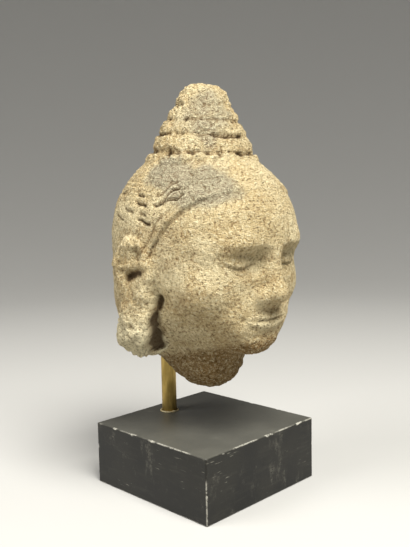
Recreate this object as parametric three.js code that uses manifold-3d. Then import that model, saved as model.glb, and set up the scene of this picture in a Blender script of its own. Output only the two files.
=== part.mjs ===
// A weathered sandstone head with a stepped cone of hair on its crown, held up by a brass rod that
// stands in a black painted block. Millimetres, +Z up, the face towards -Y, the origin at the middle
// of the block's underside.
import * as THREE from "three";
import { mergeVertices } from "three/addons/utils/BufferGeometryUtils.js";
import Module from "manifold-3d";

const wasm = await Module();
wasm.setup();

// Stand: block, rod and the bead of glue at the rod's foot
const BLOCK_SIDE = 100;
const BLOCK_HEIGHT = 40;
const BLOCK_CHAMFER = 0.8;
const ROD_DIAMETER = 10;
const ROD_BACK = 34; // how far the rod stands behind the block's middle
const ROD_IN_BLOCK = 25;
const ROD_IN_STONE = 26;
const HOLE_CLEARANCE = 0.4; // on the radius, for the rod in either hole
const HOLE_END_GAP = 0.5;
const BEAD_WIDTH = 1.3;
const BEAD_HEIGHT = 0.9;
const ROD_SIDES = 32;

// Head: where its middle is, and how far it bows
const HEAD_MIDDLE_HEIGHT = 160.5;
const HEAD_BACK = -3; // behind the block's middle, so a minus is in front of it
const HEAD_BOW = THREE.MathUtils.degToRad(7);
const CHIN_HEIGHT = 104;

// Face canon: chin to nose, nose to brow and brow to hairline are equal thirds, and five eyes fit
// across the face. Heights are above the chin.
const FACE_THIRD = 33;
const NOSE_BASE = FACE_THIRD;
const BROW = 2 * FACE_THIRD;
const HAIRLINE = 3 * FACE_THIRD;
const EYE_LINE = 57;
const HEAD_HALF_HEIGHT = 63;
const FACE_WIDTH = 104;
const EYE_X = FACE_WIDTH / 5;
const MOUTH = NOSE_BASE - FACE_THIRD / 3;
const FACE_FRONT = -57;

// The masses of the head: ellipsoids with a middle and radii, or tapered rods with two ends and their
// radii, each joined on or cut away with a soft edge. Each is given for the head's left half.
const SKULL = { at: [0, 2.5, HEAD_HALF_HEIGHT], radii: [FACE_WIDTH / 2, 59.5, 58] };
const FACE_MASSES = {
  forehead: { at: [0, -16, 73], radii: [45, 42, 36], soft: 10 },
  midFace: { at: [0, -6, 42], radii: [48, 47.5, 48], soft: 12 },
  jawCorner: { at: [30, 1, 21], radii: [15.5, 21, 18], soft: 10 },
  jaw: { at: [0, -25, 15], radii: [31, 29, 17], soft: 10 },
  cheek: { at: [27, -34, 38], radii: [16, 14, 14], soft: 12 },
  chin: { at: [0, FACE_FRONT + 11, 7.5], radii: [13, 11, 8.5], soft: 9 },
  eyeSocket: { away: true, at: [EYE_X + 1.5, FACE_FRONT - 3, EYE_LINE + 1.5], radii: [18, 11, 9], soft: 8 },
  innerCorner: { away: true, at: [EYE_X / 2, FACE_FRONT - 6, EYE_LINE + 1], radii: [6, 11, 8], soft: 6 },
  closedEye: { at: [EYE_X, FACE_FRONT + 18.5, EYE_LINE - 0.5], radii: [12.5, 13, 8.6], soft: 2.5 },
  innerBrow: {
    from: [7, FACE_FRONT + 4.5, BROW - 3.5],
    to: [EYE_X + 1, FACE_FRONT + 7.5, BROW + 1.5],
    ends: [4.6, 4.6],
    soft: 7,
  },
  outerBrow: {
    from: [EYE_X + 1, FACE_FRONT + 7.5, BROW + 1.5],
    to: [38, FACE_FRONT + 19, BROW - 1.5],
    ends: [4.6, 3],
    soft: 7,
  },
  noseBridge: {
    from: [0, FACE_FRONT + 5, BROW - 2],
    to: [0, FACE_FRONT - 4, NOSE_BASE + 8],
    ends: [4.6, 6.6],
    soft: 6,
  },
  noseTip: { at: [0, FACE_FRONT - 5, NOSE_BASE + 6], radii: [7.6, 7.6, 6], soft: 4 },
  noseWing: { at: [8.2, FACE_FRONT + 0.5, NOSE_BASE + 4.4], radii: [4.6, 6.8, 4.6], soft: 3 },
  mouthMound: { at: [0, FACE_FRONT + 7.5, MOUTH], radii: [24, 8.5, 13], soft: 10 },
  upperLip: { at: [6.5, FACE_FRONT + 1.4, MOUTH + 3.2], radii: [13, 4.2, 3.4], soft: 3.5 },
  lowerLip: { at: [0, FACE_FRONT + 2, MOUTH - 3.9], radii: [14.5, 4.8, 4.2], soft: 3.5 },
  underLip: { away: true, at: [0, FACE_FRONT - 3.5, MOUTH - 11], radii: [13, 4.2, 3.2], soft: 6 },
};

// Hair: the cap, whose edge is an arc over the face and a slope behind the ears
const HAIR_THICKNESS = 1.6;
const HAIR_EDGE = 0.8;
const HAIR_ARC = { y: -62, z: 30, back: 58, rise: HAIRLINE - 29 };
const NAPE_SLOPE = 0.8;

// Hair: the cone of tiers on the crown
const TIER_TILT = Math.tan(THREE.MathUtils.degToRad(-3));
const CONE_FOOT = 106;
const CONE_TOP = 156.5;
const CONE_FOOT_BACK = 5.5; // the cone's middle is this far back at its foot, and leans back upwards
const CONE_TOP_BACK = 10;
const CONE_TOP_ROUND = 5;
const CONE_SOFT = 1.5;
const TIERS = [
  { top: 114.8, wide: 36, narrow: 34.5, roll: 3 },
  { top: 125.6, wide: 31.8, narrow: 29.6, roll: 3.2 },
  { top: 134.8, wide: 28.2, narrow: 23.5, roll: 2.2 },
  { top: 143.8, wide: 22.8, narrow: 18.2, roll: 1.2 },
  { top: CONE_TOP, wide: 17.8, narrow: 12.5, roll: 0.4 },
];

// Nape and neck: the break at the stump's foot is lowest under the throat and rises backwards
const NAPE = { at: [0, 22, 20], radii: [42, 34, 36], soft: 20 };
const NECK = { at: [0, -3, -4.5], radii: [27.5, 30, 26.5], soft: 14 };
const BREAK_RISE = 0.32;
const NECK_MIDDLE = [0, 5, 5]; // the stump is skinned by rays from this point

// Ears, from a long oval with a thick lobe below it, which a recess parts from the jaw
const EAR_X = 55;
const EAR_BACK = 6;
const EAR_TOP = 64;
const LOBE_FOOT = -10;
const EAR_MASSES = {
  upperEar: { at: [EAR_X - 2, EAR_BACK, EAR_TOP - 19], radii: [5.5, 16.5, 19], soft: 4 },
  lobe: { at: [EAR_X - 4, EAR_BACK - 3.5, LOBE_FOOT + 22], radii: [8, 13.5, 22], soft: 6 },
  lobeRoot: { at: [EAR_X - 13, EAR_BACK + 2, LOBE_FOOT + 12], radii: [13, 15, 12], soft: 8 },
  upperHollow: { away: true, at: [EAR_X + 5, EAR_BACK - 5, EAR_TOP - 9], radii: [5.5, 5, 4.5], soft: 5 },
  slit: {
    away: true,
    from: [EAR_X + 3, EAR_BACK - 1, EAR_TOP - 22.6],
    to: [EAR_X + 1, EAR_BACK - 12, EAR_TOP - 18],
    ends: [3, 1.6],
    soft: 3,
  },
  upperRecess: {
    away: true,
    from: [EAR_X - 4.5, EAR_BACK - 15.5, LOBE_FOOT + 40],
    to: [EAR_X - 8.5, EAR_BACK - 14, LOBE_FOOT + 22],
    ends: [1.8, 3.4],
    soft: 3,
  },
  lowerRecess: {
    away: true,
    from: [EAR_X - 8.5, EAR_BACK - 14, LOBE_FOOT + 22],
    to: [EAR_X - 11, EAR_BACK - 12, LOBE_FOOT + 4],
    ends: [3.4, 5],
    soft: 3,
  },
};

// Skin: columns round the head, and rows of it as [from, to, count] in height above the chin
const COLUMNS = 84;
const FRONT_CROWDING = 0.45; // more crowds the columns towards the face, less towards the back
const SIDE_CROWDING = 0.08; // more crowds them towards the ears
const HEAD_ROWS = [
  [-5, 3, 6],
  [3, 33, 11],
  [33, 39, 3],
  [39, 70, 11],
  [70, 82, 3],
];
const CROWN_ROWS = [
  [82, 106, 6],
  [106, 115, 5],
  [115, 126, 6],
  [126, 151, 9],
  [151, 155, 3],
];
const TOP_SHARES = [0, 0.35, 0.7]; // rings on the cone's flat top, as shares of the way to its middle
const UNDERSIDE_ROWS = 8;
const CAST_FROM = 95;
const CAST_STEP = 0.5;
const SLOPE_STEP = 0.05;
const EVENING_ROUNDS = 10;

const STONE = new THREE.MeshStandardMaterial({ name: "sandstone", color: 0xb89e72, roughness: 0.95 });
const BRASS = new THREE.MeshStandardMaterial({
  name: "brass",
  color: 0x9c7c34,
  roughness: 0.35,
  metalness: 1,
});
const PAINT = new THREE.MeshStandardMaterial({ name: "black_paint", color: 0x2c2b29, roughness: 0.55 });
const GLUE = new THREE.MeshStandardMaterial({ name: "glue", color: 0xcabf96, roughness: 0.3 });

// Distances to simple masses, negative inside, and their soft union

function ellipsoid(p, centre, radii) {
  let outer = 0;
  let inner = 0;
  for (let i = 0; i < 3; i++) {
    const q = (p[i] - centre[i]) / radii[i];
    outer += q * q;
    inner += (q / radii[i]) ** 2;
  }
  const k = Math.sqrt(outer);
  return inner > 1e-12 ? (k * (k - 1)) / Math.sqrt(inner) : -Math.min(...radii);
}

function taperedRod(p, from, to, fromRadius, toRadius) {
  const along = to.map((v, i) => v - from[i]);
  const reach = p.map((v, i) => v - from[i]);
  const dot = (a, b) => a[0] * b[0] + a[1] * b[1] + a[2] * b[2];
  const t = THREE.MathUtils.clamp(dot(reach, along) / dot(along, along), 0, 1);
  const off = reach.map((v, i) => v - t * along[i]);
  return Math.hypot(...off) - THREE.MathUtils.lerp(fromRadius, toRadius, t);
}

function join(a, b, softness) {
  const h = Math.max(softness - Math.abs(a - b), 0) / softness;
  return Math.min(a, b) - (h * h * softness) / 4;
}

// Parts of the head, for a point p = [distance from the middle plane, y, height above the chin]

function carve(p, d, { away, at, radii, from, to, ends, soft }) {
  const mass = at ? ellipsoid(p, at, radii) : taperedRod(p, from, to, ...ends);
  return away ? -join(-d, mass, soft) : join(d, mass, soft);
}

function carveAll(p, d, masses) {
  return Object.values(masses).reduce((carved, mass) => carve(p, carved, mass), d);
}

function neckAndNape(p, head) {
  const level = [p[0], p[1], p[2] - BREAK_RISE * (p[1] - NECK.at[1])];
  return carve(level, carve(p, head, NAPE), NECK);
}

// How far a point is behind the edge of the hair
function behindHairline(p) {
  const { y, z, back, rise } = HAIR_ARC;
  if (p[2] < z) return p[1] - y - back - NAPE_SLOPE * (z - p[2]);
  return (Math.hypot((p[1] - y) / back, (p[2] - z) / rise) - 1) * back;
}

function hairCap(p, head) {
  return head - HAIR_THICKNESS * THREE.MathUtils.smoothstep(behindHairline(p), -HAIR_EDGE, HAIR_EDGE);
}

function coneMiddle(height) {
  const t = (height - CONE_FOOT) / (CONE_TOP - CONE_FOOT);
  return THREE.MathUtils.lerp(CONE_FOOT_BACK, CONE_TOP_BACK, THREE.MathUtils.clamp(t, 0, 1));
}

// The cone's radius at a height: rolled tiers, then a rounded top
function coneRadius(height) {
  const i = TIERS.findIndex((tier) => height < tier.top || tier.top === CONE_TOP);
  const { top, wide, narrow, roll } = TIERS[i];
  const foot = i > 0 ? TIERS[i - 1].top : CONE_FOOT;
  const t = THREE.MathUtils.clamp((height - foot) / (top - foot), 0, 1);
  const rolled = roll * (1 - Math.sqrt(1 - (2 * t - 1) ** 2));
  const over = THREE.MathUtils.clamp((height - CONE_TOP) / CONE_TOP_ROUND + 1, 0, 1);
  return THREE.MathUtils.lerp(wide, narrow, t) - rolled - CONE_TOP_ROUND * (1 - Math.sqrt(1 - over * over));
}

function crownCone(p, head) {
  const lean = p[1] - coneMiddle(p[2]);
  const height = p[2] - TIER_TILT * lean;
  const cone = Math.hypot(p[0], lean) - coneRadius(height);
  return join(head, Math.max(cone, CONE_FOOT - height, height - CONE_TOP), CONE_SOFT);
}

// Slow hollows and swellings of worn stone, which differ on the two sides
function wear([x, y, z]) {
  return 0.5 * Math.sin(x / 13 + 1.3) * Math.sin(y / 17 + 0.4) + 0.4 * Math.sin(z / 11 + x / 23);
}

function headField([x, y, z]) {
  const p = [Math.abs(x), y, z];
  const face = carveAll(p, ellipsoid(p, SKULL.at, SKULL.radii), FACE_MASSES);
  const covered = neckAndNape(p, hairCap(p, face));
  return crownCone(p, carveAll(p, covered, EAR_MASSES)) - wear([x, y, z]);
}

// The first point of the stone on the way from outside back to a point within it
function castToSkin(within, direction) {
  const at = (r) => within.map((v, i) => v + r * direction[i]);
  let outside = CAST_FROM;
  while (outside > 0 && headField(at(outside - CAST_STEP)) > 0) outside -= CAST_STEP;
  let inside = outside - CAST_STEP;
  for (let i = 0; i < 16; i++) {
    const middle = (inside + outside) / 2;
    if (headField(at(middle)) > 0) outside = middle;
    else inside = middle;
  }
  return at(inside);
}

// The nearest point of the stone's skin, by a few steps down the field's slope
function settleOnSkin(point) {
  let p = point;
  for (let i = 0; i < 3; i++) {
    const d = headField(p);
    const slope = p.map((v, k) => headField(p.map((w, j) => (j === k ? w + SLOPE_STEP : w))) - d);
    const steep = slope.reduce((sum, v) => sum + v * v, 0) / SLOPE_STEP;
    p = p.map((v, k) => v - THREE.MathUtils.clamp((d * slope[k]) / steep, -1, 1));
  }
  return p;
}

// Angles from the face, clockwise from above, for a ring of so many columns
function columnAngles(count) {
  return Array.from({ length: count }, (_, i) => {
    const turn = (2 * Math.PI * i) / count;
    return turn - FRONT_CROWDING * Math.sin(turn) + SIDE_CROWDING * Math.sin(2 * turn);
  });
}

function spread([from, to, count]) {
  return Array.from({ length: count }, (_, i) => from + ((to - from) * i) / count);
}

// The middle of each level ring: the head's own below the crown, the cone's above it
function ringMiddle(height) {
  const t = THREE.MathUtils.smoothstep(height, HAIRLINE - 10, CONE_FOOT);
  return THREE.MathUtils.lerp(SKULL.at[1], coneMiddle(height), t);
}

function levelRing(height, count) {
  const middle = [0, ringMiddle(height), height];
  return columnAngles(count).map((a) => castToSkin(middle, [-Math.sin(a), -Math.cos(a), 0]));
}

// A skin of rings: each is stitched to the next, which has as many points, half as many or twice as
// many, and single points close the ends.
class Skin {
  constructor(startPoint) {
    this.points = [startPoint];
    this.triangles = [];
    this.last = [0];
  }

  add(ring) {
    const next = ring.map((point) => this.points.push(point) - 1);
    const steps = Math.max(next.length, this.last.length);
    const pick = (row, i) => row[Math.floor((i * row.length) / steps) % row.length];
    for (let i = 0; i < steps; i++) {
      const [a, b] = [pick(this.last, i), pick(this.last, i + 1)];
      const [c, d] = [pick(next, i), pick(next, i + 1)];
      if (c !== d) this.triangles.push(a, c, d);
      if (a !== b) this.triangles.push(a, d, b);
    }
    this.last = next;
  }

  // Slides every point from the first free one towards the middle of its neighbours, along the stone
  even(firstFree, rounds, settle) {
    const neighbours = this.points.map(() => new Set());
    for (let i = 0; i < this.triangles.length; i += 3) {
      const corners = this.triangles.slice(i, i + 3);
      for (const a of corners) for (const b of corners) if (a !== b) neighbours[a].add(b);
    }
    for (let round = 0; round < rounds; round++) {
      this.points = this.points.map((point, i) => {
        if (i < firstFree) return point;
        const around = [...neighbours[i]].map((j) => this.points[j]);
        const middle = point.map((_, k) => around.reduce((sum, other) => sum + other[k], 0) / around.length);
        return settle(point.map((v, k) => (v + middle[k]) / 2));
      });
    }
  }

  geometry() {
    const made = new THREE.BufferGeometry();
    made.setAttribute("position", new THREE.Float32BufferAttribute(this.points.flat(), 3));
    return made.setIndex(this.triangles);
  }
}

// The head's own frame: its middle at the origin here is the middle of the skull
const headPlace = new THREE.Matrix4()
  .makeTranslation(0, HEAD_BACK, HEAD_MIDDLE_HEIGHT)
  .multiply(new THREE.Matrix4().makeRotationX(HEAD_BOW))
  .multiply(new THREE.Matrix4().makeTranslation(0, 0, -HEAD_HALF_HEIGHT));
const headPlaceBack = headPlace.clone().invert();
const place = (point, matrix) => new THREE.Vector3(...point).applyMatrix4(matrix).toArray();

// A ring of points at a radius round the rod's upright line, in the part's frame
function rodRing(radius, height, count) {
  return columnAngles(count).map((a) => [
    -radius * Math.sin(a),
    ROD_BACK - radius * Math.cos(a),
    height,
  ]);
}

// Where the upright line through a point comes out of the stone's underside, in the part's frame
function underside([x, y]) {
  const within = place([x, y, CHIN_HEIGHT], headPlaceBack);
  const down = new THREE.Vector3(0, 0, -1).transformDirection(headPlaceBack).toArray();
  return place(castToSkin(within, down), headPlace);
}

// A point of the stump's skin, on the way from the socket's rim to the ring at the neck's top
function stumpPoint(rimPoint, topPoint, share) {
  const towards = (point) => new THREE.Vector3(...point).sub(new THREE.Vector3(...NECK_MIDDLE)).normalize();
  const direction = towards(place(rimPoint, headPlaceBack)).lerp(towards(topPoint), share).normalize();
  return place(castToSkin(NECK_MIDDLE, direction.toArray()), headPlace);
}

function stoneHead() {
  const half = COLUMNS / 2;
  const socket = ROD_DIAMETER / 2 + HOLE_CLEARANCE;
  const rim = rodRing(socket, 0, half).map(underside);
  const rimHeight = rim.reduce((sum, point) => sum + point[2], 0) / rim.length;
  const socketEnd = rimHeight + ROD_IN_STONE + HOLE_END_GAP;
  const neckTop = levelRing(HEAD_ROWS[0][0], half);

  const skin = new Skin([0, ROD_BACK, socketEnd]);
  skin.add(rodRing(socket, socketEnd, half));
  skin.add(rim);
  for (let i = 1; i <= UNDERSIDE_ROWS; i++) {
    skin.add(rim.map((point, j) => stumpPoint(point, neckTop[j], i / (UNDERSIDE_ROWS + 1))));
  }
  const addLevel = (count) => (height) =>
    skin.add(levelRing(height, count).map((point) => place(point, headPlace)));
  HEAD_ROWS.flatMap(spread).forEach(addLevel(COLUMNS));
  CROWN_ROWS.flatMap(spread).forEach(addLevel(half));
  const tip = [0, coneMiddle(CONE_TOP), CONE_TOP];
  const topRing = levelRing(CONE_TOP - 1, half);
  for (const share of TOP_SHARES) {
    skin.add(topRing.map((point) => place(point.map((v, k) => v + share * (tip[k] - v)), headPlace)));
  }
  skin.add([place(tip, headPlace)]);
  const settle = (point) => place(settleOnSkin(place(point, headPlaceBack)), headPlace);
  skin.even(1 + 2 * half, EVENING_ROUNDS, settle);

  const mesh = new THREE.Mesh(skin.geometry(), STONE);
  mesh.name = "stone_head";
  return { mesh, rimHeight };
}

function brassRod(rimHeight) {
  const foot = BLOCK_HEIGHT - ROD_IN_BLOCK;
  const length = rimHeight + ROD_IN_STONE - foot;
  const made = new THREE.CylinderGeometry(ROD_DIAMETER / 2, ROD_DIAMETER / 2, length, ROD_SIDES);
  const mesh = new THREE.Mesh(made, BRASS);
  mesh.name = "brass_rod";
  mesh.rotation.x = Math.PI / 2;
  mesh.position.set(0, ROD_BACK, foot + length / 2);
  return mesh;
}

// A ring of glue that fills the corner between the rod and the block's top
function glueBead() {
  const inner = ROD_DIAMETER / 2 + HOLE_CLEARANCE / 2;
  const profile = [new THREE.Vector2(inner, 0), new THREE.Vector2(inner + BEAD_WIDTH, 0)];
  for (const turn of [0.35, 0.7, 1]) {
    const angle = (turn * Math.PI) / 2;
    profile.push(new THREE.Vector2(inner + BEAD_WIDTH * Math.cos(angle), BEAD_HEIGHT * Math.sin(angle)));
  }
  profile.push(profile[0].clone());
  const mesh = new THREE.Mesh(new THREE.LatheGeometry(profile, ROD_SIDES), GLUE);
  mesh.name = "glue_bead";
  mesh.rotation.x = Math.PI / 2;
  mesh.position.set(0, ROD_BACK, BLOCK_HEIGHT);
  return mesh;
}

function solidOf(geometry) {
  const bare = geometry.clone();
  bare.deleteAttribute("normal");
  bare.deleteAttribute("uv");
  const merged = mergeVertices(bare);
  return new wasm.Manifold(
    new wasm.Mesh({
      numProp: 3,
      vertProperties: merged.attributes.position.array,
      triVerts: new Uint32Array(merged.index.array),
    }),
  );
}

function geometryOf(solid) {
  const { vertProperties, triVerts } = solid.getMesh();
  const made = new THREE.BufferGeometry();
  made.setAttribute("position", new THREE.BufferAttribute(vertProperties, 3));
  return made.setIndex(new THREE.BufferAttribute(triVerts, 1));
}

function paintedBlock() {
  const half = BLOCK_SIDE / 2 - BLOCK_CHAMFER;
  const square = new THREE.Shape([
    new THREE.Vector2(-half, -half),
    new THREE.Vector2(half, -half),
    new THREE.Vector2(half, half),
    new THREE.Vector2(-half, half),
  ]);
  const block = new THREE.ExtrudeGeometry(square, {
    depth: BLOCK_HEIGHT - 2 * BLOCK_CHAMFER,
    bevelSize: BLOCK_CHAMFER,
    bevelThickness: BLOCK_CHAMFER,
    bevelSegments: 1,
  }).translate(0, 0, BLOCK_CHAMFER);
  const depth = ROD_IN_BLOCK + HOLE_END_GAP;
  const radius = ROD_DIAMETER / 2 + HOLE_CLEARANCE;
  const drill = new THREE.CylinderGeometry(radius, radius, 2 * depth, ROD_SIDES)
    .rotateX(Math.PI / 2)
    .translate(0, ROD_BACK, BLOCK_HEIGHT);
  const mesh = new THREE.Mesh(geometryOf(solidOf(block).subtract(solidOf(drill))), PAINT);
  mesh.name = "painted_block";
  return mesh;
}

const head = stoneHead();
const part = new THREE.Group();
part.add(head.mesh, brassRod(head.rimHeight), glueBead(), paintedBlock());

export default part;
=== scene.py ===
from math import cos, hypot, pi, radians, sin, tan

import bpy
import numpy as np
from mathutils import Matrix, Vector, noise


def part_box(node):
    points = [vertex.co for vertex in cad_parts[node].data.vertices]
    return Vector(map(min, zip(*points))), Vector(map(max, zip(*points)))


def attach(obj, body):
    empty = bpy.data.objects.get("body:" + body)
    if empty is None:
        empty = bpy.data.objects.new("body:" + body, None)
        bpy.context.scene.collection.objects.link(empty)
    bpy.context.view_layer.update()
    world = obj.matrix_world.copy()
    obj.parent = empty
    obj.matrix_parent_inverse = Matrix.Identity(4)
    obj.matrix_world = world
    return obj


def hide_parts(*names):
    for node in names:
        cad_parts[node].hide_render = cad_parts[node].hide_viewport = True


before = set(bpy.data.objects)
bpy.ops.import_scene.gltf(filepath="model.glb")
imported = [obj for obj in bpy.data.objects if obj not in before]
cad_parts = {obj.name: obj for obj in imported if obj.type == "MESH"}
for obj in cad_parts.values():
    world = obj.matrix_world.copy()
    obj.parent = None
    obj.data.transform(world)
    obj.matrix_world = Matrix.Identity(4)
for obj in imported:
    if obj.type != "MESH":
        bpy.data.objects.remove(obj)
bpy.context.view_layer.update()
mm = 0.001  # shapes are written in millimetres, and Blender works in metres


# small helpers

def pickOnly(piece):
    bpy.ops.object.select_all(action="DESELECT")
    piece.select_set(True)
    bpy.context.view_layer.objects.active = piece


def readPoints(piece):  # the piece's points in millimetres
    flat = np.empty(len(piece.data.vertices) * 3)
    piece.data.vertices.foreach_get("co", flat)
    return flat.reshape(-1, 3) / mm


def writePoints(piece, points):
    piece.data.vertices.foreach_set("co", (points * mm).ravel())
    piece.data.update()


def readNormals(piece):
    flat = np.empty(len(piece.data.vertices) * 3)
    piece.data.vertices.foreach_get("normal", flat)
    return flat.reshape(-1, 3)


def readEdges(piece):
    flat = np.empty(len(piece.data.edges) * 2, int)
    piece.data.edges.foreach_get("vertices", flat)
    return flat.reshape(-1, 2)


def neighbourMean(edges, values):  # each point's average over the points it has an edge to
    first, second = edges.T
    count = np.bincount(edges.ravel(), minlength=len(values))
    total = [
        np.bincount(first, v[second], len(values)) + np.bincount(second, v[first], len(values))
        for v in values.T
    ]
    return np.stack(total, 1) / np.maximum(count, 1)[:, None]


def keepMask(piece, name, values):  # a soft mask on the points, which a material reads by its name
    layer = piece.data.attributes.new(name, "FLOAT", "POINT")
    layer.data.foreach_set("value", np.clip(values, 0, 1).astype(np.float32))


def smooth(values, low, high):  # 0 below low, 1 above high and an easy curve between
    t = np.clip((values - low) / (high - low), 0, 1)
    return t * t * (3 - 2 * t)


def swell(values, width):  # a soft bump about 0
    return np.exp(-(values / width) ** 2)


def grainNoise(points, size):  # soft noise from -1 to 1 with lumps of about that size
    return np.array([noise.noise(q) for q in points / size])


def pitNoise(points, cell, share):  # round pits from 0 to 1, in that share of the cells
    depth = np.zeros(len(points))
    for i, q in enumerate(points / cell):
        away, spots = noise.voronoi(q)
        if noise.cell(spots[0] * 9.7) < share:
            depth[i] = max(0, 1 - away[0] / 0.42)
    return depth


def facetNoise(points, cell):  # lumps from 0 to 1 that meet in creases, like struck stone
    return np.array([1 - noise.voronoi(q)[0][0] for q in points / cell])


def useFinish(piece, finish, node):  # the piece stands for its CAD node
    piece.data.materials.clear()
    piece.data.materials.append(finish)
    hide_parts(node)
    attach(piece, "root")


# shader maths

class Value:  # a shader socket that Python expressions work on
    def __init__(self, tree, socket):
        self.tree = tree
        self.socket = socket

    def node(self, kind, settings, inputs, output=0):  # any node: its settings first, then its sockets
        made = self.tree.nodes.new("ShaderNode" + kind)
        for name, setting in settings.items():
            setattr(made, name, setting)
        for name, given in inputs.items():
            if isinstance(given, Value):
                self.tree.links.new(given.socket, made.inputs[name])
            else:
                made.inputs[name].default_value = given
        return Value(self.tree, made.outputs[output])

    def maths(self, operation, first, second):
        return self.node("Math", {"operation": operation}, {0: first, 1: second})

    def __add__(self, other):
        return self.maths("ADD", self, other)

    def __radd__(self, other):
        return self.maths("ADD", other, self)

    def __sub__(self, other):
        return self.maths("SUBTRACT", self, other)

    def __rsub__(self, other):
        return self.maths("SUBTRACT", other, self)

    def __mul__(self, other):
        return self.maths("MULTIPLY", self, other)

    def __rmul__(self, other):
        return self.maths("MULTIPLY", other, self)

    def ease(self, low, high):  # 0 below low, 1 above high
        ends = {"Value": self, "From Min": low, "From Max": high}
        return self.node("MapRange", {"interpolation_type": "SMOOTHSTEP"}, ends)

    def grain(self, size, detail=3, roughness=0.55):  # noise with lumps of about size millimetres
        ends = {"Vector": self, "Scale": 1 / (size * mm), "Detail": detail, "Roughness": roughness}
        return self.node("TexNoise", {}, ends)

    def spots(self, size):  # distance to the nearest of a scatter of points
        ends = {"Vector": self, "Scale": 1 / (size * mm)}
        return self.node("TexVoronoi", {}, ends)

    def stretched(self, x, y, z):  # the same place with each axis stretched
        return self.node("VectorMath", {"operation": "MULTIPLY"}, {0: self, 1: (x, y, z)})

    def tint(self, below, above):  # a colour, from below where this is 0 to above where it is 1
        return self.node("Mix", {"data_type": "RGBA"}, {0: self, 6: below, 7: above}, 2)

    def mask(self, name):  # a mask kept on the piece's points
        return self.node("Attribute", {"attribute_name": name}, {}, "Fac")

    def bump(self, height, distance, strength):
        ends = {"Height": height, "Distance": distance * mm, "Strength": strength}
        return self.node("Bump", {}, ends)


def startFinish(name):  # a new material, with the place on the piece to work from
    finish = bpy.data.materials.new(name)
    finish.use_nodes = True
    shader = finish.node_tree.nodes["Principled BSDF"]
    coordinates = finish.node_tree.nodes.new("ShaderNodeTexCoord")
    return finish, shader, Value(finish.node_tree, coordinates.outputs["Object"])


def setShader(shader, linked, fixed):
    tree = shader.id_data
    for name, value in linked.items():
        tree.links.new(value.socket, shader.inputs[name])
    for name, value in fixed.items():
        shader.inputs[name].default_value = value


def paint(red, green, blue):  # a colour picked as 0 to 255, as linear light
    linear = [((c / 255 + 0.055) / 1.055) ** 2.4 for c in (red, green, blue)]
    return (*linear, 1)


# the stone head, in its own frame: chin at 0, face towards -y, and both sides alike

head = {
    "at": (0, -3, 160.5),
    "turnsAt": 63,
    "tilt": radians(7),
    "voxels": (1.3, 1.04),
    "settleRounds": 3,
    "longestStep": 1.5,
    "evenRounds": 6,
    "relaxRounds": 5,
}
third = 33  # chin to nose, nose to brow and brow to hairline
faceWidth = 104
frontY = -57
eyeX = faceWidth / 5
eyeZ = 57
noseZ = third
browZ = 2 * third
mouthZ = noseZ * 2 / 3

skull = {"at": (0, 2.5, 63), "radii": (52, 59.5, 58)}
faceMasses = {
    "forehead": {"at": (0, -16, 73), "radii": (45, 42, 36), "soft": 10},
    "midFace": {"at": (0, -6, 42), "radii": (48, 47.5, 48), "soft": 12},
    "jawCorner": {"at": (30, 1, 21), "radii": (15.5, 21, 18), "soft": 10},
    "jaw": {"at": (0, -25, 15), "radii": (31, 29, 17), "soft": 10},
    "cheek": {"at": (27, -34, 38), "radii": (16, 14, 14), "soft": 14},
    "chin": {"at": (0, frontY + 11, 7.5), "radii": (13, 11, 8.5), "soft": 9},
    "innerBrow": {
        "from": (5, frontY + 7, browZ - 4),
        "to": (eyeX, frontY + 9.5, browZ + 1),
        "ends": (6, 5.5),
        "soft": 10,
    },
    "outerBrow": {
        "from": (eyeX, frontY + 9.5, browZ + 1),
        "to": (35, frontY + 21, browZ - 1.5),
        "ends": (5.5, 3.5),
        "soft": 10,
    },
    "eyeSocket": {
        "away": True,
        "at": (eyeX + 0.5, frontY - 3.5, eyeZ - 0.5),
        "radii": (17, 11.5, 8.5),
        "soft": 5,
    },
    "innerCorner": {
        "away": True,
        "at": (eyeX / 2, frontY - 7.5, eyeZ),
        "radii": (6, 11.5, 8),
        "soft": 6,
    },
    "closedEye": {"at": (eyeX, frontY + 18.5, eyeZ - 1.2), "radii": (12.5, 13.5, 8.2), "soft": 2.5},
    "noseBridge": {
        "from": (0, frontY + 5, browZ - 3),
        "to": (0, frontY - 3.5, noseZ + 8),
        "ends": (4.4, 6.2),
        "soft": 7,
    },
    "noseTip": {"at": (0, frontY - 4.5, noseZ + 6), "radii": (7.4, 7.4, 6), "soft": 4},
    "noseWing": {"at": (7.4, frontY + 1, noseZ + 4.4), "radii": (4.6, 6.8, 4.4), "soft": 3.5},
    "nostril": {
        "away": True,
        "at": (4.4, frontY - 3.6, noseZ - 0.8),
        "radii": (2.2, 3, 1.4),
        "soft": 2.5,
    },
    "mouthMound": {"at": (0, frontY + 8.6, mouthZ), "radii": (24, 7.5, 13), "soft": 12},
}
nape = {"at": (0, 22, 20), "radii": (42, 34, 36), "soft": 20}
neck = {"at": (0, -3, -4.5), "radii": (27, 29, 25.6), "soft": 14, "slope": 0.32}
earX = 55
earY = 6
earTop = 64
lobeFoot = -10
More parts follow.
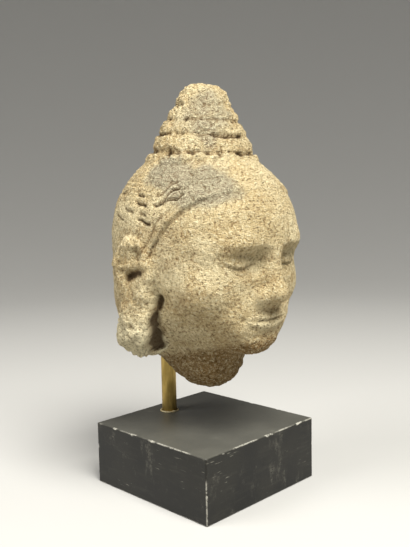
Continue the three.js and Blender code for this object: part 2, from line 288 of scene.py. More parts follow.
earMasses = {
    "upperEar": {"at": (earX - 2, earY, earTop - 19), "radii": (5.5, 16.5, 19), "soft": 4},
    "lobe": {"at": (earX - 4, earY - 3.5, lobeFoot + 22), "radii": (8, 13.5, 22), "soft": 6},
    "lobeRoot": {"at": (earX - 13, earY + 2, lobeFoot + 12), "radii": (13, 15, 12), "soft": 8},
    "rim": {
        "from": (earX - 0.5, earY + 10, earTop - 16),
        "to": (earX - 1.5, earY + 3, earTop - 4),
        "ends": (4.6, 4.2),
        "soft": 3,
    },
    "knob": {"at": (earX - 3, earY - 10, lobeFoot + 42), "radii": (4.6, 5, 7), "soft": 3},
    "bowl": {
        "away": True,
        "at": (earX + 4.5, earY - 2, earTop - 19),
        "radii": (4, 10, 12),
        "soft": 4,
    },
    "upperHollow": {
        "away": True,
        "at": (earX + 4, earY - 5, earTop - 9),
        "radii": (5.5, 4, 5),
        "soft": 3,
    },
    "recess": {
        "away": True,
        "from": (earX - 4, earY - 17, lobeFoot + 24),
        "to": (earX - 11.5, earY - 15.5, lobeFoot + 3),
        "ends": (2.2, 6),
        "soft": 5,
    },
    "innerFold": {
        "from": (earX - 0.5, earY + 6, earTop - 18),
        "to": (earX - 1.5, earY - 9, earTop - 14),
        "ends": (2.6, 2.2),
        "soft": 2,
    },
}
earCuts = [  # narrow cuts in each ear, along a line that tapers between two radii
    {"from": (56.5, 5.5, 40.8), "to": (54.5, -7, 46.6), "ends": (2.7, 1.4), "deep": 5.5, "soft": 1.6},
    {"from": (48, -14, 31), "to": (49.5, -10.5, 16), "ends": (2.2, 3), "deep": 5.5, "soft": 1.6},
    {"from": (49.5, -10.5, 16), "to": (42.5, -9.5, -4), "ends": (3.2, 7.4), "deep": 5.6, "soft": 1.8},
]
earPress = {  # which way the cuts go in, how ragged they are and how their walls are evened
    "sideways": 0.85,
    "backward": 0.5,
    "ragged": 1.4,
    "raggedSize": 4.5,
    "evenRounds": 8,
    "evenShare": 0.6,
}
lobeBreak = {  # the broken foot of each lobe, on the stone further out than this
    "at": (57, -1, 3),
    "facing": (0.62, -0.25, -0.74),
    "beyond": 46,
    "soft": 3,
}
hair = {
    "arcY": -62,
    "arcZ": 30,
    "back": 58,
    "rise": 70,
    "stands": 1.6,
    "band": 4.6,
    "lineWidth": 0.75,
    "edgeCut": 0.7,
    "bandCut": 0.9,
}
cone = {
    "foot": 106,
    "footBack": 5.5,
    "topBack": 10,
    "round": 5,
    "tilt": tan(radians(-3)),
    "soft": 1.5,
    "overhang": 0.6,
    "grooves": (1.4, 1.6, 0.8, 0.5),
}
tiers = [  # the height of each tier's top, its lower and upper radius and how far it rolls in
    (114.8, 36, 34.5, 2.6),
    (125.6, 31.6, 29.4, 2.8),
    (134.8, 28, 23.6, 2.2),
    (143.8, 22.8, 18.2, 1.2),
    (156.5, 17.6, 12.3, 0.5),
]
coneTop = tiers[-1][0]
rodLow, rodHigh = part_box("brass_rod")
rod = {
    "at": (0, 34),
    "radius": 5,
    "sides": 48,
    "edge": 0.5,
    "edgeSteps": 3,
    "hole": 5.4,
    "holeTop": rodHigh.z / mm + 0.5,
}


def toHead(points):  # from the frame to the head's own upright frame
    back = points[:, 1] - head["at"][1]
    rise = points[:, 2] - head["at"][2]
    y = back * cos(head["tilt"]) + rise * sin(head["tilt"])
    z = rise * cos(head["tilt"]) - back * sin(head["tilt"]) + head["turnsAt"]
    return points[:, 0] - head["at"][0], y, z


def egg(place, centre, radii):  # millimetres outside a stretched ball
    q = [(p - c) / r for p, c, r in zip(place, centre, radii)]
    reach = np.sqrt(sum(v * v for v in q))
    slope = np.sqrt(sum((v / r) ** 2 for v, r in zip(q, radii)))
    return reach * (reach - 1) / np.maximum(slope, 1e-6)


def taper(place, start, end, startRadius, endRadius):  # millimetres outside a tapered bar
    along = np.subtract(end, start)
    reach = [p - s for p, s in zip(place, start)]
    share = np.clip(sum(r * a for r, a in zip(reach, along)) / along.dot(along), 0, 1)
    away = np.sqrt(sum((r - share * a) ** 2 for r, a in zip(reach, along)))
    return away - startRadius - (endRadius - startRadius) * share


def softJoin(first, second, soft):  # two forms in one, with a fillet where they meet
    near = np.maximum(soft - np.abs(first - second), 0) / soft
    return np.minimum(first, second) - near * near * soft / 4


def carve(place, field, mass):  # adds a mass of stone, or takes one away
    if "at" in mass:
        form = egg(place, mass["at"], mass["radii"])
    else:
        form = taper(place, mass["from"], mass["to"], *mass["ends"])
    if mass.get("away"):
        return -softJoin(-field, form, mass["soft"])
    return softJoin(field, form, mass["soft"])


def behindHairline(y, z):  # millimetres behind the front edge of the hair
    arc = np.hypot((y - hair["arcY"]) / hair["back"], (z - hair["arcZ"]) / hair["rise"])
    low = y - hair["arcY"] - hair["back"] - 0.8 * (hair["arcZ"] - z)
    return np.where(z < hair["arcZ"], low, (arc - 1) * hair["back"])


def coneMiddle(z):
    share = np.clip((z - cone["foot"]) / (coneTop - cone["foot"]), 0, 1)
    return cone["footBack"] + (cone["topBack"] - cone["footBack"]) * share


def coneHeight(y, z):
    return z - cone["tilt"] * (y - coneMiddle(z))


def coneRadius(height):
    radius = np.full(height.shape, -1.0)
    foot = cone["foot"]
    for top, wide, narrow, roll in tiers:
        share = np.clip((height - foot) / (top - foot), 0, 1)
        bulge = 2 * share ** cone["overhang"] - 1  # fullest below the middle of the tier
        rolled = wide + (narrow - wide) * share - roll * (1 - np.sqrt(1 - bulge * bulge))
        radius = np.where((height >= foot) | (foot == cone["foot"]), rolled, radius)
        foot = top
    over = np.clip((height - coneTop + cone["round"]) / cone["round"], 0, 1)
    return radius - cone["round"] * (1 - np.sqrt(1 - over * over))


def bareHead(place):  # skull, face, hair cap and neck, without the ears and the cone
    x, y, z = place
    field = egg(place, skull["at"], skull["radii"])
    for mass in faceMasses.values():
        field = carve(place, field, mass)
    stands = hair["stands"] * (0.4 + 0.6 * smooth(x, 18, 38))
    field = field - stands * smooth(behindHairline(y, z), -0.8, 0.8)
    field = carve(place, field, nape)
    level = (x, y, z - neck["slope"] * (y - neck["at"][1]))
    return carve(level, field, neck)


def headField(points):  # below 0 inside the stone, in millimetres
    x, y, z = toHead(points)
    place = (np.abs(x), y, z)
    field = bareHead(place)
    for mass in earMasses.values():
        field = carve(place, field, mass)
    broken = sum((p - a) * f for p, a, f in zip(place, lobeBreak["at"], lobeBreak["facing"]))
    broken = np.where(np.abs(x) > lobeBreak["beyond"], broken, -9)
    field = -softJoin(-field, -broken, lobeBreak["soft"])
    lean = y - coneMiddle(z)
    height = coneHeight(y, z)
    crown = np.hypot(x, lean) - coneRadius(height)
    crown = np.maximum(np.maximum(crown, cone["foot"] - height), height - coneTop)
    field = softJoin(field, crown, cone["soft"])
    away = np.hypot(points[:, 0] - rod["at"][0], points[:, 1] - rod["at"][1]) - rod["hole"]
    socket = np.maximum(away, points[:, 2] - rod["holeTop"])
    return np.maximum(field, -socket)


def fieldSlope(points, field):
    step = 0.1
    slope = np.empty_like(points)
    for axis in range(3):
        moved = points.copy()
        moved[:, axis] += step
        slope[:, axis] = (headField(moved) - field) / step
    return slope


def settle(points):  # moves the points onto the carved surface
    longest = head["longestStep"]
    for _ in range(head["settleRounds"]):
        field = headField(points)
        slope = fieldSlope(points, field)
        size = np.maximum((slope * slope).sum(1), 0.2)
        points = points - np.clip(field / size, -longest, longest)[:, None] * slope
    return points


mouth = {"half": 18.5, "lift": 0.9, "upper": 5.4, "lower": 6.8}
eye = {"half": 12, "line": -4.2, "fold": 5}


def mouthRelief(x, z):
    share = np.clip(x / mouth["half"], 0, 1)
    end = 1 - share * share
    line = mouthZ + mouth["lift"] * share * share
    bow = 1 - 0.16 * swell(x, 2.4) + 0.08 * swell(x - 4.5, 3)
    above = np.clip((z - line) / np.maximum(mouth["upper"] * end ** 0.8 * bow, 0.05), 0, 1)
    below = np.clip((line - z) / np.maximum(mouth["lower"] * end ** 0.7, 0.05), 0, 1)
    upperLip = 3.2 * end ** 0.6 * above ** 0.45 * (1 - above) ** 0.6
    lowerLip = 2.4 * end ** 0.6 * np.sin(pi * below ** 0.75) ** 1.2
    groove = -0.5 * swell(z - line, 0.9) * end ** 0.3
    corner = -1.1 * swell(x - mouth["half"] - 1, 2.6) * swell(z - line - 0.4, 2.6)
    gutter = -0.5 * swell(x, 1.9) * smooth(z, 27, 28.5) * smooth(-z, -34, -31)
    underLip = -1.5 * swell(z - 12.6, 2.8) * swell(x, 11)
    return upperLip + lowerLip + groove + corner + gutter + underLip


def eyeRelief(x, z):
    across = (x - eyeX) / eye["half"]
    inside = np.clip(1 - across ** 4, 0, 1)
    line = eyeZ + eye["line"] + 3 * across * across
    fold = eyeZ + eye["fold"] - 2.6 * across * across
    lidLine = -1.0 * swell(z - line, 0.9) * inside
    lidEdge = 0.6 * swell(z - line - 1.8, 1.3) * inside
    lidFold = -0.3 * swell(z - fold, 1) * inside
    return lidLine + lidEdge + lidFold


rows = {"spacing": 3.1, "depth": 0.45, "ball": 58, "lean": 0.09}
petals = {"count": 26, "at": 112.2, "height": 2.3, "tall": 2.6}
strokeWidth = 0.95
strokes = [  # cut locks on the sides: from and to as (y, z), how far each waves and how deep it is
    {"from": (-7, 84.5), "to": (-18, 96), "wave": 1.3, "deep": 1.95},
    {"from": (-12.5, 86), "to": (-22, 93), "wave": -1, "deep": 1.8},
    {"from": (-6, 90.5), "to": (-15, 99), "wave": 1.1, "deep": 1.2},
    {"from": (9.5, 84.6), "to": (1, 83.6), "wave": 0.3, "deep": 1.8},
    {"from": (4, 79), "to": (-1.5, 78), "wave": 0.2, "deep": 1.05},
    {"from": (4, 75.2), "to": (-6, 73.8), "wave": -0.5, "deep": 1.8},
    {"from": (11, 89.4), "to": (5.5, 88.6), "wave": 0.2, "deep": 1.05},
    {"from": (20, 80), "to": (11, 78.6), "wave": 0.4, "deep": 0.9},
    {"from": (30, 74), "to": (20, 73), "wave": -0.4, "deep": 0.9},
    {"from": (34, 88), "to": (24, 88.5), "wave": 0.5, "deep": 0.9},
]


def strokeGroove(stroke, y, z):  # 0 away from the stroke and up to 1 along it
    start = stroke["from"]
    run = np.subtract(stroke["to"], start)
    length = hypot(*run)
    along = ((y - start[0]) * run[0] + (z - start[1]) * run[1]) / length ** 2
    across = ((z - start[1]) * run[0] - (y - start[0]) * run[1]) / length
    waved = across - stroke["wave"] * np.sin(2 * pi * np.clip(along, 0, 1))
    past = np.maximum(np.abs(along - 0.5) - 0.5, 0) * length
    return swell(np.hypot(waved, past), strokeWidth)


def hairCuts(points, x, y, z, onHair):  # how deep the drawn lines and the combed rows are cut
    side = np.abs(x)
    behind = behindHairline(y, z)
    wander = grainNoise(points, 14)
    worn = grainNoise(points + 40, 17)
    atSide = smooth(side, 40, 48.5)
    edge = behind + 1.3 * grainNoise(points + 15, 7)
    frontGroove = hair["edgeCut"] * swell(edge + 0.7, hair["lineWidth"])
    frontGroove *= smooth(worn, -0.5, 0.1) * (0.1 + 0.9 * atSide)
    bandEdge = edge + 0.8 * np.sin(z / 3.2) - hair["band"]
    backGroove = hair["bandCut"] * swell(bandEdge, hair["lineWidth"])
    backGroove *= smooth(worn, -0.8, -0.3) * atSide * smooth(-z, -92, -84)
    lines = (frontGroove + backGroove) * smooth(z, 50, 56)
    kept = smooth(side, 24, 30) * smooth(worn, -0.75, -0.3)
    for stroke in strokes:
        lines += stroke["deep"] * strokeGroove(stroke, y, z) * kept
    reach = np.stack([x, y - skull["at"][1], z - skull["at"][2]], 1)
    rise = reach[:, 2] + rows["lean"] * reach[:, 1]
    arc = np.arccos(np.clip(rise / np.linalg.norm(reach, axis=1), -1, 1)) * rows["ball"]
    combed = (0.5 + 0.5 * np.cos(2 * pi * (arc + 0.9 * wander) / rows["spacing"])) ** 2
    upper = smooth(z, 80, 90) * smooth(behind, 3, 6)
    return lines, rows["depth"] * combed * upper * smooth(worn, -0.5, 0.3) * onHair


weather = {  # sizes of the stone's lumps and pits, and how far they stand or sink
    "broadSize": 11,
    "lumpSize": 4.5,
    "gritSize": 2.1,
    "pitSize": 3.2,
    "pitShare": 0.42,
    "lobeFacets": 10,
    "coneFacets": 8,
    "lumpHeight": 0.5,
    "gritHeight": 0.6,
    "lobeChips": 2.2,
    "coneChips": 1.5,
}
crustPatches = [  # grey crust: where each patch is, how strong it is and how softly it ends
    {"at": (-36, -20, 100), "radii": (24, 30, 13), "share": 1, "soft": 6},
    {"at": (-16, -10, 140), "radii": (15, 16, 22), "share": 0.75, "soft": 6},
    {"at": (16, 44, 92), "radii": (30, 26, 24), "share": 0.7, "soft": 8},
]
# painted shade on the temple, darker where the light falls off towards the side
templeShade = {"at": (-50, -18, 66), "radii": (20, 18, 18), "share": 0.25}


def roughStone():  # an even mesh on the carved surface, from the CAD solid
    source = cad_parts["stone_head"].data
    piece = bpy.data.objects.new("stoneHead", source.copy())
    bpy.context.collection.objects.link(piece)
    pickOnly(piece)
    bpy.ops.object.mode_set(mode="EDIT")
    bpy.ops.mesh.select_all(action="SELECT")
    bpy.ops.mesh.remove_doubles(threshold=1e-6)
    bpy.ops.object.mode_set(mode="OBJECT")
    for voxel in head["voxels"]:  # each pass is even again, and nearer the carved surface
        bpy.ops.object.modifier_add(type="REMESH")
        piece.modifiers[-1].mode = "VOXEL"
        piece.modifiers[-1].voxel_size = voxel * mm
        bpy.ops.object.modifier_apply(modifier=piece.modifiers[-1].name)
        writePoints(piece, settle(readPoints(piece)))
    print("stoneHead: rough block of", len(piece.data.polygons), "faces")
    return piece


def carvedStone(piece, edges):  # the piece's points, spread evenly and at rest on the surface
    points = readPoints(piece)
    for _ in range(head["evenRounds"]):  # evens out the points along the surface
        slope = fieldSlope(points, headField(points))
        outward = slope / np.linalg.norm(slope, axis=1, keepdims=True)
        pull = neighbourMean(edges, points) - points
        points = points + 0.6 * (pull - (pull * outward).sum(1, keepdims=True) * outward)
    points = settle(points)
    for _ in range(head["relaxRounds"]):  # smooths folds, where neighbours pull to opposite walls
        pull = neighbourMean(edges, points) - points
        uneven = np.linalg.norm(pull, axis=1)
        points = points + smooth(uneven, 0.15, 0.5)[:, None] * pull
    writePoints(piece, points)
    print("stoneHead: carved")
    return points


def makeStoneHead():
    piece = roughStone()
    edges = readEdges(piece)
    points = carvedStone(piece, edges)
    outward = readNormals(piece)
    x, y, z = toHead(points)
    side = np.abs(x)
    proud = bareHead((side, y, z))  # how far ears and cone stand off the head
    height = coneHeight(y, z)
    onCone = smooth(proud, 0.3, 1) * smooth(height, 104, 106)
    onEar = smooth(proud, 0.3, 1) * (1 - onCone) * smooth(-height, -100, -90)
    onHair = smooth(behindHairline(y, z), 0, 2) * (1 - onCone) * (1 - onEar)
    inSocket = np.hypot(points[:, 0], points[:, 1] - rod["at"][1]) < rod["hole"] + 1.5
    inSocket &= points[:, 2] < rod["holeTop"] + 1
    underside = smooth(-z - 0.35 * y, 6, 14) * (1 - onEar)
    lobe = onEar * smooth(-z, -26, -8)

    faceFront = smooth(-y, 30, 38) * (1 - onHair)
    relief = faceFront * (mouthRelief(side, z) + eyeRelief(side, z))
    hairLines, hairRows = hairCuts(points, x, y, z, onHair)
    relief -= hairLines + hairRows
    turn = np.arctan2(x, y - coneMiddle(z))
    scallop = np.abs(np.sin(turn * petals["count"] / 2)) ** 0.7
    relief += petals["height"] * (scallop - 0.7) * swell(height - petals["at"], petals["tall"]) * onCone
    earCut = np.zeros(len(points))
    ragged = earPress["ragged"] * grainNoise(points + 33, earPress["raggedSize"])
    for ear in earCuts:
        form = taper((side, y, z), ear["from"], ear["to"], *ear["ends"]) + ragged
        earCut = np.maximum(earCut, ear["deep"] * smooth(-form, -ear["soft"], 2.2))
    wornGroove = grainNoise(points + 77, 9)
    cut = np.zeros(len(points))
    for (top, *_), deep in zip(tiers, cone["grooves"]):
        line = height - top + 1.1 * wornGroove
        cut = np.maximum(cut, deep * swell(line, 1.1) * smooth(wornGroove, -0.6, 0.15))
    cut *= onCone
    relief -= cut
    print("stoneHead: hair and face cut")

    broad = grainNoise(points + 7, weather["broadSize"])
    lumps = weather["lumpHeight"] * grainNoise(points + 23, weather["lumpSize"])
    grit = weather["gritHeight"] * grainNoise(points + 51, weather["gritSize"])
    pits = pitNoise(points, weather["pitSize"], weather["pitShare"])
    rough = 0.5 + 0.9 * lobe + 0.8 * underside + 0.7 * onCone + 0.45 * onEar
    relief += (0.45 + 0.9 * onCone) * broad + rough * (lumps + grit)
    relief -= pits * (0.4 + 0.6 * lobe + 0.4 * underside + 0.5 * onCone)
    relief += weather["lobeChips"] * (facetNoise(points, weather["lobeFacets"]) - 0.5) * lobe
    relief += weather["coneChips"] * (facetNoise(points + 9, weather["coneFacets"]) - 0.5) * onCone
    relief[inSocket] = 0
    intoEar = np.stack([-earPress["sideways"] * np.sign(x), earPress["backward"] + 0 * x, 0 * x], 1)
    points = points + relief[:, None] * outward + earCut[:, None] * intoEar
    inCut = earPress["evenShare"] * smooth(earCut, 0.1, 0.8)
    for _ in range(earPress["evenRounds"]):  # evens the walls of the ear's deep cuts
        pull = neighbourMean(edges, points) - points
        points = points + inCut[:, None] * pull
    writePoints(piece, points)

    # masks for the finish: painted shade in hollows, worn crests, grey crust, painted shade under the head
    # with a brown band in the lowest cone groove, and pale lobes with a painted highlight
    mean = points
    for _ in range(2):
        mean = neighbourMean(edges, mean)
    fine = ((mean - points) * outward).sum(1)
    for _ in range(12):
        mean = neighbourMean(edges, mean)
    deep = ((mean - points) * outward).sum(1)
    # painted shade: darker where the surface lies below its smoothed neighbours, in creases, cuts, pits and
    # hair lines
    hollowShade = 0.5 * smooth(fine, 0.05, 0.4) + 0.8 * smooth(deep, 0.4, 1.8) + 0.25 * cut
    hollowShade = hollowShade * (1 - 0.6 * faceFront) + 0.2 * earCut + 0.35 * pits + 0.3 * hairLines
    keepMask(piece, "hollowShade", hollowShade)
    keepMask(piece, "crest", smooth(-fine, 0.02, 0.3))
    patchNoise = 6 * grainNoise(points + 11, 16) + 3 * grainNoise(points + 61, 6)
    crust = np.zeros(len(points))
    for patch in crustPatches:
        inside = -egg((x, y, z), patch["at"], patch["radii"]) - patchNoise
        crust = np.maximum(crust, patch["share"] * smooth(inside, -8, patch["soft"]))
    keepMask(piece, "crust", crust)
    # shade mask: painted shade under the jaw and neck, on the lower face and at the temple, and a brown
    # band along the lowest cone groove
    grooveBand = 0.6 * onCone * swell(height - tiers[0][0] - 2, 2.6) * smooth(wornGroove, -0.5, 0.3)
    inTemple = -egg((x, y, z), templeShade["at"], templeShade["radii"])
    temple = templeShade["share"] * smooth(inTemple, -8, 8)
    lower = 0.2 * smooth(-z, -34, -6) * (1 - lobe)
    keepMask(piece, "shade", np.max([underside, grooveBand, temple, lower], axis=0))
    # pale fresh breaks on the lobes, and a painted highlight where the side light falls
    keepMask(piece, "freshAndLit", lobe)
    pickOnly(piece)
    bpy.ops.object.shade_smooth()
    print("stoneHead: weathered,", len(piece.data.polygons), "faces")
    return piece


stoneColours = {
    "tan": paint(200, 178, 133),
    "pale": paint(220, 203, 161),
    "cream": paint(240, 230, 193),
    "ochre": paint(172, 139, 88),
    "umber": paint(132, 99, 50),
    "brown": paint(104, 77, 44),
    "dark": paint(52, 38, 24),
    "grey": paint(126, 121, 104),
    "paleGrey": paint(164, 156, 134),
}


def sandstoneFinish():
    finish, shader, place = startFinish("weatheredSandstone")
    hollowShade = place.mask("hollowShade")
    crest = place.mask("crest")
    crust = place.mask("crust")
    shade = place.mask("shade")
    cloud = place.grain(26, 4)
    blotch = place.grain(8, 4)
    grit = place.grain(1.6, 3, 0.72)
    fineGrit = place.grain(0.8, 2, 0.6)
    crust = (crust + blotch * 1.2 - 0.6).ease(0.05, 1)
    colour = cloud.ease(0.38, 0.62).tint(stoneColours["tan"], stoneColours["pale"])
    colour = (blotch.ease(0.5, 0.72) * 0.5).tint(colour, stoneColours["ochre"])
    greyed = blotch.ease(0.3, 0.7).tint(stoneColours["grey"], stoneColours["paleGrey"])
    # pale fresh breaks on the lobes, and a painted highlight where the side light falls
    colour = (place.mask("freshAndLit") * 0.65).tint(colour, stoneColours["cream"])
    colour = (crust * 0.8).tint(colour, greyed)
    # painted shade: umber where the shade mask lies
    colour = (shade * 0.8).tint(colour, stoneColours["umber"])
    # in the painted shade the dark grains show stronger, standing in for grains shaded by raking light
    paleGrit = grit.ease(0.52, 0.68) * (0.65 - crust * 0.25 - shade * 0.1)
    colour = paleGrit.tint(colour, stoneColours["cream"])
    darkGrit = (1 - grit.ease(0.32, 0.49)) * (0.75 + shade * 0.25)
    colour = darkGrit.tint(colour, stoneColours["brown"])
    specks = (1 - place.spots(1.9).ease(0.1, 0.3)) * place.grain(4).ease(0.44, 0.62)
    colour = (specks * 0.5).tint(colour, stoneColours["dark"])
    # painted shade in the hollows and crevices: brown, and near black in the deepest
    colour = (hollowShade * 0.8).tint(colour, stoneColours["brown"])
    colour = (hollowShade.ease(0.7, 1) * 0.6).tint(colour, stoneColours["dark"])
    colour = ((crest * fineGrit.ease(0.4, 0.7)) * 0.5).tint(colour, stoneColours["cream"])
    height = grit + fineGrit * 0.35 - specks * 0.5
    roughness = 0.86 + grit * 0.1
    linked = {"Base Color": colour, "Roughness": roughness, "Normal": place.bump(height, 3.4, 1)}
    setShader(shader, linked, {"Specular IOR Level": 0.2})
    return finish


stoneHead = makeStoneHead()
useFinish(stoneHead, sandstoneFinish(), "stone_head")


# the painted block

blockLow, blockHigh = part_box("painted_block")
blockSize = (blockHigh - blockLow) / mm
block = {
    "cuts": (79, 79, 31),
    "edge": 0.9,
    "edgeSteps": 3,
    "chipDepth": 0.32,
    "waveDepth": 0.05,
    "holeDepth": 25.5,
    "holeSides": 48,
    "holeTurn": radians(2),
    "dustAndSheenFrom": 39,
}


def makePaintedBlock():
    middle = (blockLow + blockHigh) / 2
    bpy.ops.object.select_all(action="DESELECT")
    bpy.ops.mesh.primitive_cube_add(size=1, location=middle)
    piece = bpy.context.object
    piece.name = "paintedBlock"
    piece.data.name = "paintedBlock"
    piece.scale = blockHigh - blockLow
    bpy.ops.object.transform_apply(location=True, rotation=True, scale=True)
    for axis in range(3):  # a close grid, one direction at a time
        bpy.ops.object.mode_set(mode="EDIT")
        bpy.ops.mesh.select_mode(type="EDGE")
        bpy.ops.mesh.select_all(action="DESELECT")
        bpy.ops.object.mode_set(mode="OBJECT")
        for edge in piece.data.edges:
            first, second = (piece.data.vertices[i].co for i in edge.vertices)
            run = second - first
            edge.select = abs(run[axis]) > 0.99 * run.length
        bpy.ops.object.mode_set(mode="EDIT")
        bpy.ops.mesh.subdivide(number_cuts=block["cuts"][axis])
    bpy.ops.mesh.select_all(action="DESELECT")
    bpy.ops.mesh.edges_select_sharp(sharpness=radians(60))
    bpy.ops.mesh.bevel(offset=block["edge"] * mm, segments=block["edgeSteps"], affect="EDGES")
    bpy.ops.object.mode_set(mode="OBJECT")
    print("paintedBlock: gridded,", len(piece.data.polygons), "faces")

    points = readPoints(piece)
    middle = np.array(middle) / mm
    half = np.array(blockSize) / 2
    toFaces = half - np.abs(points - middle)  # how far in from each pair of faces
    nearest = np.sort(toFaces, axis=1)
    toEdge = np.hypot(nearest[:, 0], nearest[:, 1])
    chipNoise = grainNoise(points, 7) + 0.6 * grainNoise(points + 30, 2.6)
    chip = smooth(chipNoise, 0.25, 0.7) * (1 - smooth(toEdge, 0.5, 1.8))
    chip *= 0.25 + 0.75 * smooth(points[:, 2], 6, 20)
    inward = np.sign((middle - points) * (toFaces < 1.2))
    inward /= np.maximum(np.linalg.norm(inward, axis=1, keepdims=True), 1)
    standing = points[:, 2] < 0.05  # the underside stays flat
    push = block["chipDepth"] * chip + block["waveDepth"] * (1 + grainNoise(points + 80, 19))
    push[standing] = 0
    points = points + push[:, None] * inward
    points[:, 2] = np.maximum(points[:, 2], 0)
    writePoints(piece, points)
    rubNoise = grainNoise(points + 55, 16) + 0.5 * grainNoise(points + 66, 4)
    rub = (1 - smooth(toEdge, 0.35, 1.2)) * smooth(rubNoise, -0.45, 0.35)
    keepMask(piece, "bare", np.maximum(chip, 0.6 * rub))
    # the top face lighter: dust, and a painted sheen where the overhead light falls on it
    keepMask(piece, "dustAndSheen", smooth(points[:, 2], block["dustAndSheenFrom"], blockSize[2]))

    bpy.ops.object.select_all(action="DESELECT")
    depth = block["holeDepth"] * mm
    rodPlace = (rod["at"][0] * mm, rod["at"][1] * mm, blockHigh.z)
    bpy.ops.mesh.primitive_cylinder_add(
        vertices=block["holeSides"],
        radius=rod["hole"] * mm,
        depth=2 * depth,
        location=rodPlace,
        rotation=(0, 0, block["holeTurn"]),  # keeps its corners off the grid's lines
    )
    drill = bpy.context.object
    pickOnly(piece)
    bpy.ops.object.modifier_add(type="BOOLEAN")
    piece.modifiers[-1].operation = "DIFFERENCE"
    piece.modifiers[-1].object = drill
    bpy.ops.object.modifier_apply(modifier=piece.modifiers[-1].name)
    bpy.data.objects.remove(drill)
    bpy.ops.object.shade_smooth_by_angle(angle=radians(40))
    print("paintedBlock: chipped and drilled,", len(piece.data.polygons), "faces")
    return piece


def blackPaintFinish():
    finish, shader, place = startFinish("wornBlackPaint")
    bare = place.mask("bare")
    cloud = place.grain(30, 4)
    brush = place.stretched(1, 1, 6).grain(14, 4)
    dust = place.grain(1.2, 3, 0.7)
    scuff = place.stretched(1, 1, 0.45).grain(9, 6, 0.7).ease(0.54, 0.76)
    scratch = place.stretched(0.12, 0.12, 1).grain(1.1, 2).ease(0.66, 0.74) * cloud.ease(0.5, 0.62)
    colour = cloud.ease(0.35, 0.65).tint(paint(10, 10, 7), paint(24, 23, 18))
    colour = (brush.ease(0.5, 0.75) * 0.3).tint(colour, paint(50, 48, 41))
    colour = (scuff * dust.ease(0.36, 0.6) * 0.5).tint(colour, paint(112, 109, 99))
    colour = (scratch * 0.6).tint(colour, paint(130, 127, 116))
    # the top face lighter grey: dust, and a painted sheen where the overhead light falls on it
    dustAndSheen = place.mask("dustAndSheen")
    colour = (dustAndSheen * (0.35 + cloud * 0.5)).tint(colour, paint(92, 91, 84))
    colour = (bare * dust.ease(0.25, 0.55)).ease(0.1, 0.85).tint(colour, paint(170, 167, 156))
    roughness = 0.3 + cloud * 0.14 + bare * 0.3 + scuff * 0.2 + dustAndSheen * 0.1
    height = cloud * 0.3 + dust * 0.25 + brush * 0.2
    linked = {"Base Color": colour, "Roughness": roughness, "Normal": place.bump(height, 0.25, 0.5)}
    setShader(shader, linked, {"Specular IOR Level": 0.28, "Coat Weight": 0.12, "Coat Roughness": 0.25})
    return finish


paintedBlock = makePaintedBlock()
useFinish(paintedBlock, blackPaintFinish(), "painted_block")


# the brass rod

def makeBrassRod():
    bpy.ops.object.select_all(action="DESELECT")
    bpy.ops.mesh.primitive_cylinder_add(
        vertices=rod["sides"],
        radius=rod["radius"] * mm,
        depth=rodHigh.z - rodLow.z,
        location=(rodLow + rodHigh) / 2,
    )
    piece = bpy.context.object
    piece.name = "brassRod"
    piece.data.name = "brassRod"
    bpy.ops.object.transform_apply(location=True, rotation=True, scale=True)
    bpy.ops.object.mode_set(mode="EDIT")
    bpy.ops.mesh.select_all(action="DESELECT")
    bpy.ops.mesh.edges_select_sharp(sharpness=radians(60))
    bpy.ops.mesh.bevel(offset=rod["edge"] * mm, segments=rod["edgeSteps"], affect="EDGES")
    bpy.ops.object.mode_set(mode="OBJECT")
    bpy.ops.object.shade_smooth_by_angle(angle=radians(35))
    print("brassRod: turned,", len(piece.data.polygons), "faces")
    return piece


def brassFinish():
    finish, shader, place = startFinish("tarnishedBrass")
    drawn = place.stretched(1, 1, 0.04).grain(0.7, 3)
    tarnish = place.stretched(1, 1, 0.35).grain(7, 4)
    colour = tarnish.ease(0.35, 0.7).tint(paint(196, 168, 98), paint(144, 122, 66))
    colour = (drawn.ease(0.45, 0.7) * 0.3).tint(colour, paint(220, 194, 128))
    roughness = 0.3 + tarnish * 0.2 + drawn * 0.1
    linked = {"Base Color": colour, "Roughness": roughness, "Normal": place.bump(drawn, 0.1, 0.25)}
    setShader(shader, linked, {"Metallic": 1})
    return finish


brassRod = makeBrassRod()
useFinish(brassRod, brassFinish(), "brass_rod")


# the glue bead at the rod's foot

bead = {
    "ring": 5.85,
    "thick": 0.6,
    "around": 72,
    "across": 14,
    "rise": 1.35,
    "uneven": 0.35,
    "sunk": 0.02,
}


def makeGlueBead():
    bpy.ops.object.select_all(action="DESELECT")
    bpy.ops.mesh.primitive_torus_add(
        major_radius=bead["ring"] * mm,
        minor_radius=bead["thick"] * mm,
        major_segments=bead["around"],
        minor_segments=bead["across"],
        location=(rod["at"][0] * mm, rod["at"][1] * mm, blockHigh.z),
    )
    piece = bpy.context.object
    piece.name = "glueBead"
    piece.data.name = "glueBead"
    bpy.ops.object.transform_apply(location=True, rotation=True, scale=True)
    points = readPoints(piece)
    outX = points[:, 0] - rod["at"][0]
    outY = points[:, 1] - rod["at"][1]
    away = np.hypot(outX, outY)
    ringPoints = np.stack([outX / away * bead["ring"], outY / away * bead["ring"], 0 * away], 1)
    spread = 1 + bead["uneven"] * grainNoise(ringPoints, 3)
    beyond = away - bead["ring"]
    wide = bead["ring"] + beyond * np.where(beyond > 0, spread, 1)  # only the outer side spreads
    points[:, 0] = rod["at"][0] + outX / away * wide
    points[:, 1] = rod["at"][1] + outY / away * wide
    top = blockHigh.z / mm
    points[:, 2] = top + np.maximum(0, (points[:, 2] - top) * bead["rise"] * spread) - bead["sunk"]
    writePoints(piece, points)
    bpy.ops.object.shade_smooth_by_angle(angle=radians(50))
    print("glueBead: laid,", len(piece.data.polygons), "faces")
    return piece


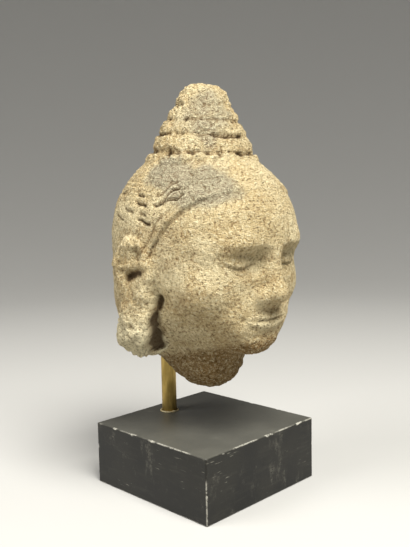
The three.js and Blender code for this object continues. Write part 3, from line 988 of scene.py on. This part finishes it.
def glueFinish():
    finish, shader, place = startFinish("dryGlue")
    cloud = place.grain(2.5, 3)
    colour = cloud.ease(0.35, 0.65).tint(paint(196, 186, 150), paint(158, 142, 100))
    roughness = 0.35 + cloud * 0.3
    linked = {"Base Color": colour, "Roughness": roughness, "Normal": place.bump(cloud, 0.15, 0.5)}
    setShader(shader, linked, {"Specular IOR Level": 0.5})
    return finish


glueBead = makeGlueBead()
useFinish(glueBead, glueFinish(), "glue_bead")


# floor, light and camera

studio = {
    "floor": 0.9,
    "floorSides": 96,
    "bend": 1.7,
    "bendSteps": 16,
    "wall": 1.6,
    "floorColour": (0.44, 0.435, 0.42, 1),
    "worldColour": (0.8, 0.8, 0.8, 1),
    "world": 0.38,
    "lampAim": 140,
}
camera = {
    "at": (-322.5, -321.5, 186.3),
    "azimuth": radians(-45.36),
    "elevation": radians(6.224),
    "roll": radians(-1.181),
    "focalPixels": 713.4,
    "framePixels": 547,
    "sensor": 36,
}
lamps = {  # each lamp's turn round the object, height, distance, width, power and warmth
    "key": {"turn": -16, "rise": 56, "reach": 1.1, "wide": 0.6, "power": 30, "colour": (1, 0.985, 0.93)},
    "side": {"turn": -115, "rise": 40, "reach": 1.2, "wide": 0.6, "power": 10.5, "colour": (1, 0.98, 0.95)},
}


def makeFloor():
    bpy.ops.object.select_all(action="DESELECT")
    bpy.ops.mesh.primitive_circle_add(
        vertices=studio["floorSides"],
        radius=studio["floor"],
        fill_type="NGON",
    )
    floor = bpy.context.object
    floor.name = "studioFloor"
    bpy.ops.object.mode_set(mode="EDIT")
    bpy.ops.mesh.select_mode(type="EDGE")
    bpy.ops.mesh.select_all(action="SELECT")
    radius = studio["floor"]
    height = 0
    for step in range(1, studio["bendSteps"] + 1):  # the rim sweeps up into a wall all round
        angle = step / studio["bendSteps"] * pi / 2
        nextRadius = studio["floor"] + studio["bend"] * sin(angle)
        nextHeight = studio["bend"] * (1 - cos(angle))
        bpy.ops.mesh.extrude_edges_move(TRANSFORM_OT_translate={"value": (0, 0, nextHeight - height)})
        share = nextRadius / radius
        bpy.ops.transform.resize(value=(share, share, 1))
        radius = nextRadius
        height = nextHeight
    bpy.ops.mesh.extrude_edges_move(TRANSFORM_OT_translate={"value": (0, 0, studio["wall"])})
    bpy.ops.object.mode_set(mode="OBJECT")
    bpy.ops.object.shade_smooth()
    finish, shader, _ = startFinish("paleFloor")
    setShader(shader, {}, {"Base Color": studio["floorColour"], "Roughness": 0.9})
    floor.data.materials.append(finish)


def makeLamps():
    target = Vector((0, 0, studio["lampAim"] * mm))
    for name, lamp in lamps.items():
        data = bpy.data.lights.new(name, "AREA")
        data.size = lamp["wide"]
        data.energy = lamp["power"]
        data.color = lamp["colour"]
        turn = radians(lamp["turn"])
        rise = radians(lamp["rise"])
        away = Vector((sin(turn) * cos(rise), -cos(turn) * cos(rise), sin(rise)))
        made = bpy.data.objects.new(name, data)
        made.location = target + away * lamp["reach"]
        made.rotation_euler = away.to_track_quat("Z", "Y").to_euler()
        bpy.context.collection.objects.link(made)
    world = bpy.data.worlds.new("softRoom")
    world.use_nodes = True
    glow = world.node_tree.nodes["Background"]
    glow.inputs["Color"].default_value = studio["worldColour"]
    glow.inputs["Strength"].default_value = studio["world"]
    bpy.context.scene.world = world


def makeCamera():
    turn, rise, roll = camera["azimuth"], camera["elevation"], camera["roll"]
    back = Vector((sin(turn) * cos(rise), -cos(turn) * cos(rise), sin(rise)))
    level = Vector((cos(turn), sin(turn), 0))
    upright = back.cross(level)
    right = level * cos(roll) + upright * sin(roll)
    up = upright * cos(roll) - level * sin(roll)
    data = bpy.data.cameras.new("photoCamera")
    data.sensor_width = camera["sensor"]
    data.lens = camera["focalPixels"] / camera["framePixels"] * camera["sensor"]
    data.clip_start = 0.01
    made = bpy.data.objects.new("photoCamera", data)
    turned = Matrix((right, up, back)).transposed().to_4x4()
    made.matrix_world = Matrix.Translation(Vector(camera["at"]) * mm) @ turned
    bpy.context.collection.objects.link(made)
    bpy.context.scene.camera = made


bpy.context.scene.view_settings.view_transform = "Standard"
makeFloor()
makeLamps()
makeCamera()
print("studio: floor, lamps and camera placed")

bpy.context.view_layer.update()
